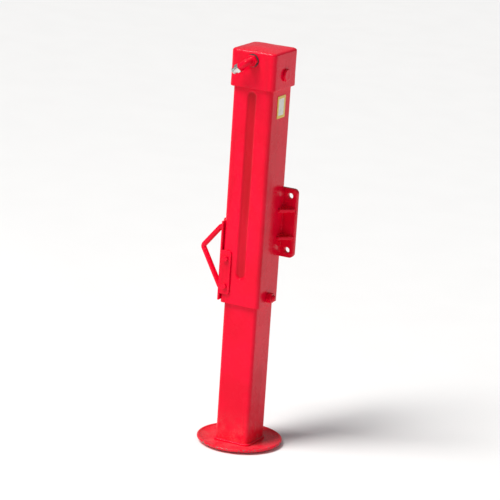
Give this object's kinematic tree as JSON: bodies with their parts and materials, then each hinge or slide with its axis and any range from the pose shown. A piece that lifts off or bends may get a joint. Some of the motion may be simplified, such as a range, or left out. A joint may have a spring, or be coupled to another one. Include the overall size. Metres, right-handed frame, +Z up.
{
  "type": "hydraulic parking leg",
  "caption": "Square telescopic parking leg with a two-stage hydraulic ram inside, a round dished foot, a spring latch and a side mounting plate.",
  "frame": {"origin": "centre of the foot's flat underside, with the leg standing on it", "axes": "+Z up along the leg, +Y towards the mounting plate, -X towards the latch handle"},
  "size_m": [0.2561, 0.222, 1.04],
  "materials": {
    "red_paint": "glossy sprayed enamel",
    "zinc_plate": "bright zinc plate",
    "hard_chrome": "ground hard chrome",
    "bare_steel": "turned steel, oiled",
    "spring_steel": "drawn spring wire",
    "nylon": "cast nylon",
    "seal_rubber": "moulded nitrile",
    "label_yellow": "printed vinyl without lettering"
  },
  "bodies": {
    "casing": {"outer_tube": "red_paint", "top_cap": "red_paint", "top_pin": "red_paint", "top_pin_washer": "zinc_plate", "top_pin_split_pin": "zinc_plate", "pin_spacer_front": "bare_steel", "pin_spacer_rear": "bare_steel", "mounting_plate": "red_paint", "gusset_front_upper": "red_paint", "gusset_front_lower": "red_paint", "gusset_rear_upper": "red_paint", "gusset_rear_lower": "red_paint", "label_plate": "label_yellow", "lower_strip_front": "nylon", "lower_strip_left": "nylon", "lower_strip_right": "nylon", "lower_strip_rear": "nylon", "adjusting_screw": "red_paint", "adjusting_locknut": "red_paint", "inlet_seal": "seal_rubber", "inlet_adaptor": "red_paint", "inlet_elbow": "red_paint", "inlet_plug": "zinc_plate", "ram_head": "bare_steel", "ram_barrel": "bare_steel", "barrel_gland": "bare_steel", "barrel_rod_seal": "seal_rubber", "barrel_wiper": "seal_rubber", "latch_bracket": "red_paint", "bracket_bolt_lower": "red_paint", "bracket_bolt_upper": "red_paint", "latch_guide": "red_paint", "latch_bush": "red_paint", "latch_spring": "spring_steel"},
    "ram_stage": {"stage_tube": "hard_chrome", "stage_guide_ring": "nylon", "stage_gland": "bare_steel", "stage_rod_seal": "seal_rubber", "stage_wiper": "seal_rubber"},
    "leg": {"plunger": "hard_chrome", "plunger_guide_ring": "nylon", "inner_tube": "red_paint", "foot_dish": "red_paint", "upper_strip_front": "nylon", "upper_strip_rear": "nylon", "ram_seat": "bare_steel", "seat_washer": "zinc_plate", "seat_bolt": "zinc_plate"},
    "latch": {"latch_handle": "red_paint", "latch_collar": "zinc_plate"}
  },
  "joints": [
    {"name": "leg_slide", "type": "slide", "parent": "leg", "child": "ram_stage", "axis": [0, 0, 1], "range_m": [-0.15, 0.05]},
    {"name": "stage_slide", "type": "slide", "parent": "ram_stage", "child": "casing", "axis": [0, 0, 1], "range_m": [-0.15, 0.05]},
    {"name": "latch_slide", "type": "slide", "parent": "casing", "child": "latch", "axis": [1, 0, 0], "range_m": [0, 0.009]}
  ]
}
